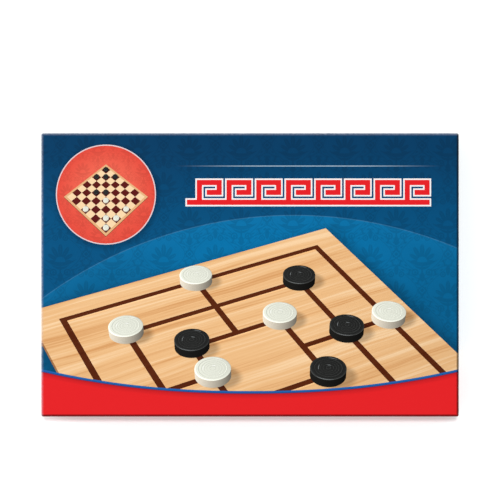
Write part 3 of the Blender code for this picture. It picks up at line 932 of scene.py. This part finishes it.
def tray_cover():
    """The tray's sheet: from its rim down outside, under the floor, back up, and down inside."""
    rim, under, inside = TRAY.high[2], TRAY.low[2], WALL - FOLD
    printed_rim = over_rim(rim, 1, FOLD, 4)[::-1]
    profile = printed_rim[4:] + arc(EDGE, under + EDGE, EDGE, 0, -90, 5)
    profile += [(TURN_UNDER, under), (TURN_UNDER, under + PAPER)]
    profile += arc(GLUED_EDGE + PAPER, under + GLUED_EDGE + PAPER, GLUED_EDGE, -90, 0, 4)
    profile += over_rim(rim, 1, FOLD - PAPER, 3)
    flap = (len(profile), len(profile) + 1)
    profile += [(WALL - PAPER, rim - TURN_IN), (WALL, rim - TURN_IN)] + printed_rim[:4]
    outline = rounded(TRAY.half, CORNER, inside)
    bm = wrapped(Wall(TRAY.half[:2], CORNER, inside), profile, flap, -NOTCH_DEPTH, outline=outline)
    prints = [plain_print("tray_print", TRAY.half, use_sheet=True)]
    dress(new_object(finish_mesh(bm, "tray_cover", prints)), "tray", "tray_wrap")


# Formed stone tray
FORMED_SHEET = 0.8
FORMED_EDGE = 1.2
FORMED_CORNER = 3.0
WELLS = 8
WELL_MOUTH = 18.6
WELL_FOOT = 15.7
WELL_FOOT_RADIUS = 1.1
WELL_FLOOR = ((15.5, 0.0), (12.2, 0.0), (11.8, 0.2), (10.6, 0.2), (10.2, 0.0))  # radius and depth
SEAT = 0.3


def formed_sheet():
    """Satin blue plastic, with painted shade darker down in the wells."""
    tree = Surface("formed_sheet", 0.45, 0.4)
    place = tree.local()
    skin = tree.noise(place, 700, 3)
    cloud = tree.noise(place, 24, 2)
    deep = tree.split(place)[2].rises(19, 7)
    # Painted shade down in the wells, with a random cloud of darker tone over the sheet
    colour = tree.mix(deep * 0.6 + cloud * 0.25, (62, 104, 146), (44, 82, 122))
    tree.set("Roughness", skin * 0.16 + cloud * 0.1 + 0.27)
    return tree.finished(colour, skin + cloud * 3, 0.06, 0.5)


def well_section():
    """A well's section as (radius, height): mouth, drafted wall, foot and the floor's ring."""
    deck, bottom = FORMED.high[2], STONE.low[2] - SEAT
    foot_z = bottom + WELL_FOOT_RADIUS
    over_mouth = [TURN / 4 + a for a in (0.3, 0.6, 0.9, 1.2, 1.45)]
    section = turned(WELL_MOUTH, deck - FORMED_EDGE, FORMED_EDGE, over_mouth)
    section.append((WELL_FOOT + 1.2, foot_z + 0.2))
    section += turned(WELL_FOOT, foot_z, WELL_FOOT_RADIUS, (-0.3, -0.65, -1, -1.3))
    return section + [(radius, bottom - depth) for radius, depth in WELL_FLOOR]


def formed_skin():
    """The formed tray's upper skin: its deck, its skirt and its wells."""
    half, middle, deck = FORMED.half[:2], FORMED.middle[1], FORMED.high[2]
    art = Artwork(rounded(half, FORMED_CORNER, FORMED_EDGE))
    for i in range(WELLS):
        art.paint(circle((i - (WELLS - 1) / 2) * STACK_PITCH, 0, WELL_MOUTH, ROUND_STEPS), None)
    points, triangles = art.triangles()
    bm = bmesh.new()

    def vertex(x, y, z):
        return bm.verts.new((x * MM, (y + middle) * MM, z * MM))

    def hang(ring, section, move, spots):
        """Hangs a wall under a ring of vertices, and returns the wall's last ring."""
        for across, z in section:
            lower = [vertex(*move(x, y, across), z) for x, y in spots]
            for i in range(len(ring)):
                j = (i + 1) % len(ring)
                bm.faces.new([ring[i], lower[i], lower[j], ring[j]])
            ring = lower
        return ring

    def outwards(x, y, inset):
        return wall.at(x, y, inset)[:2]

    def inwards(x, y, radius):
        return centre + (x - centre) * radius / WELL_MOUTH, y * radius / WELL_MOUTH

    verts = [vertex(x, y, deck) for x, y in points]
    for triangle, _, _ in triangles:
        bm.faces.new([verts[i] for i in triangle])
    wall = Wall(half, FORMED_CORNER, FORMED_EDGE)
    skirt = arc(FORMED_EDGE, deck - FORMED_EDGE, FORMED_EDGE, 90, 0, 5)[1:] + [(0, FORMED.low[2])]
    for loop in free_loops(triangles):
        spots = [points[i] for i, _, _ in loop]
        ring = [verts[i] for i, _, _ in loop]
        left, right = min(x for x, _ in spots), max(x for x, _ in spots)
        if right > half[0] - FORMED_CORNER:
            hang(ring, skirt, outwards, spots)
        else:
            centre = (left + right) / 2
            bm.faces.new(hang(ring, well_section(), inwards, spots)[::-1])
    return bm


def formed_tray():
    """One formed sheet with round wells: its upper skin, thickened downwards."""
    tray = new_object(finish_mesh(formed_skin(), "formed_stone_tray", [formed_sheet()]))
    sheet = tray.modifiers.new("sheet", "SOLIDIFY")
    sheet.thickness, sheet.offset, sheet.use_even_offset = FORMED_SHEET * MM, -1, True
    dress(tray, "tray", "stone_tray")


# Materials of the CAD nodes that stay
LINE_HALF = 3.0
DRAUGHTS_SQUARE = 40.0

# How far the edges of some nodes are rounded
ROUNDED_NODES = {
    "lid_board_top": 0.8,
    "tray_board_floor": 0.8,
    "card_platform": 0.35,
    "rules_leaflet": 0.1,
    "draughts_wrap_lower": 0.3,
    "draughts_wrap_upper": 0.3,
}


def greyboard():
    """Recycled board: fibres, clouds and dark flecks."""
    tree = Surface("greyboard", 0.2, 0.92)
    place = tree.local()
    fibre = tree.noise(place, 900, 5, 0.65)
    cloud = tree.noise(place, 45, 3)
    fleck = tree.noise(place, 520, 1).rises(0.68, 0.74)
    colour = tree.mix(cloud * 0.4 + fibre * 0.6, (166, 161, 150), (214, 209, 198))
    return tree.finished(tree.mix(fleck * 0.6, colour, (112, 104, 94)), fibre + cloud, 0.18, 0.6)


def card():
    """Pale card, with painted shade along the platform's two scored folds, where it is also pressed in."""
    tree = Surface("insert_card", 0.3, 0.8)
    place = tree.local()
    _, y, z = tree.split(place)
    fibre = tree.noise(place, 1500, 4, 0.6)
    cloud = tree.noise(place, 30, 2)
    colour = tree.mix(cloud * 0.5 + fibre * 0.5, (228, 225, 217), (244, 243, 238))
    # Painted shade in the scored folds; the same mask presses them in
    near_fold = (abs(y - PLATFORM.middle[1]) - PLATFORM.half[1] + 0.75).line(0.7, 0.8)
    crease = near_fold * (z - PLATFORM.high[2] + 1).rises(-2, 0)
    return tree.finished(tree.shade(colour, 1 - crease * 0.12), fibre + cloud - crease, 0.12, 0.5)


def rules_paper():
    """Uncoated paper with two drawings in a border: a morris board and a draughts board."""
    tree = Surface("rules_paper", 0.3, 0.75)
    place = tree.local()
    x, y, z = tree.split(place)
    fibre = tree.noise(place, 2000, 4, 0.6)
    paper = tree.mix(fibre, (238, 236, 230), (249, 248, 245))
    u, v = abs(x) - 50, y - RULES.middle[1]
    morris = morris_lines(u, v, (32, 21, 10), 0.35) * tree.math("LESS_THAN", x, 0)
    draughts = draughts_squares(u, v, 8, 0.02, 1, 0.25) * tree.math("GREATER_THAN", x, 0)
    border = (abs(x) - RULES.half[0] + 7).most(abs(v) - RULES.half[1] + 7.5).line(0.3, 0.12)
    ink = morris.most(draughts).most(border) * z.rises(RULES.high[2] - 0.2, RULES.high[2] - 0.1)
    colour = tree.mix(ink * 0.85, paper, (40, 62, 96))
    # Painted shade along the leaflet's low edge
    crease = (y - RULES.low[1] - 0.9).rises(1.2, 0)
    return tree.finished(tree.shade(colour, 1 - crease * 0.1), fibre, 0.06, 0.5)


def board_wood(name, side):
    """A board print's place on the open board, from a half that lies folded, its wood, and a patchy noise
    for its rubs and the fold's painted shade.
    """
    tree = Surface(name, 0.4)
    u, y, _ = tree.split(tree.local())
    v = (y - FOLD_Y) * side
    return tree, u, v, *timber(tree, u, v), tree.noise((u * 0.3, v * 0.3), 1, 4, 0.7)


def morris_side(half, side):
    """The morris print: brown lines on wood, rubbed at its edges, and darker in patches along the fold, part
    wear and part painted shade.
    """
    tree, u, v, colour, tone, patchy = board_wood(f"morris_print_{half}", side)
    brown = tree.mix(tone, (84, 36, 18), (122, 60, 32))
    colour = tree.mix(morris_lines(u, v, SQUARES, LINE_HALF), colour, brown)
    # Along the fold: darker in patches, part wear and part painted shade of the crease
    crease = abs(v).rises(1.1, 0.2) * (patchy * 0.7 + 0.1)
    colour = tree.mix(crease, colour, (150, 112, 78))
    edge = (abs(u).most(abs(v)) - BOARD_HALF + 1.5).rises(-1.2, 0) * patchy.rises(0.5, 0.7) * 0.6
    return varnished(tree, tree.mix(edge, colour, (226, 220, 208)), sheen=0.4)


def draughts_side(half, side):
    """The draughts print: dark squares in a frame on wood, rubbed at its edges."""
    tree, u, v, colour, tone, patchy = board_wood(f"draughts_print_{half}", side)
    brown = tree.mix(tone, (74, 20, 18), (118, 44, 34))
    colour = tree.mix(draughts_squares(u, v, DRAUGHTS_SQUARE, 0.008, 1.5, 1.2), colour, brown)
    edge = (abs(u).most(abs(v)) - BOARD_HALF + 0.2).line(0.5, 0.4) * patchy.rises(0.5, 0.7) * 0.6
    return varnished(tree, tree.mix(edge, colour, (226, 214, 196)), sheen=0.4)


def finish_nodes(material, *names):
    """Gives CAD nodes a better material."""
    for name in names:
        slots = frame["nodes"][name].data.materials
        slots.clear()
        slots.append(material)


def round_edges(name, width):
    """Rounds a CAD node's edges."""
    modifiers = frame["nodes"][name].modifiers
    modifiers.new("weld", "WELD").merge_threshold = 0.001 * MM
    rounding = modifiers.new("rounding", "BEVEL")
    rounding.width, rounding.segments = width * MM, 3
    rounding.limit_method, rounding.angle_limit = "ANGLE", radians(30)


def carried_nodes():
    """The shells, the sheet under the base, the platform, the rules and the board."""
    walls = ("front", "back", "left", "right")
    shells = [f"{shell}_board_{wall}" for shell in ("lid", "tray") for wall in walls]
    grey = greyboard()
    finish_nodes(grey, *shells, "lid_board_top", "tray_board_floor", "board_core_lower", "board_core_upper")
    base = plain_print("base_print", Box("tray_base_sheet").half, use_sheet=False)
    finish_nodes(base, "tray_base_sheet")
    finish_nodes(card(), "card_platform")
    finish_nodes(rules_paper(), "rules_leaflet")
    for side, half in ((1, "lower"), (-1, "upper")):
        finish_nodes(morris_side(half, side), f"morris_sheet_{half}")
        finish_nodes(draughts_side(half, side), f"draughts_wrap_{half}")
    for name, width in ROUNDED_NODES.items():
        round_edges(name, width)


# Stones
STONE_EDGE = 1.0
GROOVE_AT = 11.8
GROOVE_RADIUS = 0.62

# A stone's dimple, the small groove round it, and its dished and its flat ring, as (radius, depth)
DIMPLE = [(0, 0.95), (0.5, 0.93), (0.9, 0.8), (1.2, 0.62), (1.8, 0.56)]
SMALL_GROOVE = [(3.6, 0.5), (3.9, 0.62), (4.3, 0.72), (4.7, 0.6), (5, 0.42)]
RINGS = [(6.8, 0.24), (7.5, 0.16), (7.9, 0.02), (8.3, 0), (10.7, 0), (11, 0.1)]


def stone_section():
    """Half of a stone's section as (radius, height), from the middle of its top round to its bottom's."""
    top, edge = STONE.half[2], STONE.half[0] - STONE_EDGE
    face = [(radius, top - depth) for radius, depth in DIMPLE + SMALL_GROOVE + RINGS]
    face += turned(GROOVE_AT, top, GROOVE_RADIUS, angles(190, 350, 6))
    face += [(GROOVE_AT + 0.8, top - 0.02), (GROOVE_AT + 1.1, top), (edge, top)]
    face += turned(edge, top - STONE_EDGE, STONE_EDGE, angles(80, 0, 6))
    return face + [(radius, -z) for radius, z in reversed(face)]


def lathe(section):
    """A section turned round the upright axis."""
    bm = bmesh.new()
    rings = []
    for radius, z in section:
        outline = circle(0, 0, radius, ROUND_STEPS if radius else 1)
        rings.append([bm.verts.new((x * MM, y * MM, z * MM)) for x, y in outline])
    for a, b in zip(rings, rings[1:]):
        for i in range(ROUND_STEPS):
            j = (i + 1) % ROUND_STEPS
            corners = [a[i % len(a)], b[i % len(b)], b[j % len(b)], a[j % len(a)]]
            bm.faces.new(list(dict.fromkeys(corners)))
    return bm


def lacquer(name, pale, deep, wood):
    """Lacquer on turned wood, with fine tool marks, and some wood showing at the edges."""
    tree = Surface(name, 0.5)
    place = tree.local()
    x, y, z = tree.split(place)
    radius = tree.span(x, y)
    cloud = tree.noise(place, 90, 3)
    grain = tree.noise((x * 0.05, y * 0.9, z * 0.9), 1, 3, 0.6)
    marks = tree.noise((radius * 5, z * 0.4), 1, 2)
    colour = tree.mix(cloud * 0.5 + grain * 0.5, pale, deep)
    edge = (radius - STONE.half[0] + 0.25).line(0.2, 0.25) * abs(z).rises(2.8, 3.4)
    thin = edge * tree.noise(place, 300, 3, 0.7).rises(0.55, 0.75)
    tree.set("Roughness", marks * 0.12 + cloud * 0.1 + 0.24)
    return tree.finished(tree.mix(thin * 0.7, colour, wood), marks * 0.7 + grain * 0.5, 0.12, 0.5)


def stones(colour, *inks):
    """Twelve stones of a colour, each with its grain another way."""
    mesh = finish_mesh(lathe(stone_section()), f"{colour}_stone", [lacquer(f"{colour}_lacquer", *inks)], 45)
    for number in range(1, 13):
        name = f"{colour}_stone_{number:02d}"
        stone = new_object(mesh, f"turned_{name}")
        stone.location = sum(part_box(name), Vector()) / 2
        stone.rotation_euler.z = number * 2.4
        dress(stone, name, name)


# Floor, light and camera, in metres
FLOOR_HALF = 4.0
FLOOR_DROP = 0.0002
LENS = 135.0
SENSOR = 36.0
VIEW_WIDTH = 0.4546
VIEW_MIDDLE = 0.02265


def floor():
    """A pale floor that holds the case's shadow, and is white to the camera far away."""
    mesh = bpy.data.meshes.new("floor")
    mesh.from_pydata([(x, y, -FLOOR_DROP) for x, y in square(FLOOR_HALF)], [], [(0, 1, 2, 3)])
    new_object(mesh)
    tree = Surface("floor", 0, 0.9)
    tree.set("Base Color", (0.935, 0.965, 0.965, 1))
    tree.set("Emission Color", (255, 255, 255))
    path = tree.node("LightPath")
    seen = tree.math("MAXIMUM", path["Is Camera Ray"], path["Is Glossy Ray"])
    x, y, _ = tree.split(tree.local(), 1)
    tree.set("Emission Strength", seen * (tree.span(x, y).rises(0.3, 2.5) * 0.7 + 0.3))
    mesh.materials.append(tree.material)


def world():
    """Soft light all round, brighter from the back left, and dark where a flat print would mirror it up."""
    SCENE.world = bpy.data.worlds.new("studio")
    SCENE.world.use_nodes = True
    sky = Nodes(SCENE.world.node_tree)
    background = sky.nodes["Background"].inputs
    x, y, z = sky.split(sky.node("TexCoord")["Generated"], 1)
    glow = x * -0.26 + y * 0.3 + 0.57 - sky.math("GREATER_THAN", z, 0.9) * 0.47
    sky.feed(background["Strength"], glow.most(sky.node("LightPath")["Is Camera Ray"]))
    sky.feed(background["Color"], (255, 255, 255))


def lamp(name, place, size, power):
    """A round lamp that faces the case."""
    made = new_object(bpy.data.lights.new(name, "AREA"))
    made.data.shape, made.data.size, made.data.energy = "DISK", size, power
    made.location = place
    made.rotation_euler = Vector(place).to_track_quat("Z", "Y").to_euler()
    return made


def camera():
    """Square over the lid: VIEW_WIDTH of the plane of its face fills the picture."""
    made = new_object(bpy.data.cameras.new("camera"))
    made.data.lens, made.data.sensor_width = LENS, SENSOR
    made.location = (0, VIEW_MIDDLE, LID.high[2] * MM + VIEW_WIDTH * LENS / SENSOR)
    SCENE.camera = made


lid_cover()
tray_cover()
formed_tray()
carried_nodes()
stones("white", (240, 236, 226), (226, 220, 208), (206, 176, 138))
stones("black", (36, 36, 35), (50, 49, 46), (112, 82, 58))
floor()
world()
lamp("key", (0.0, 0.44, 3.0), 0.3, 42.0).visible_glossy = False
lamp("side", (-2.2, 0.5, 1.25), 1.2, 16.0)
camera()
SCENE.view_settings.view_transform = "Standard"

bpy.context.view_layer.update()
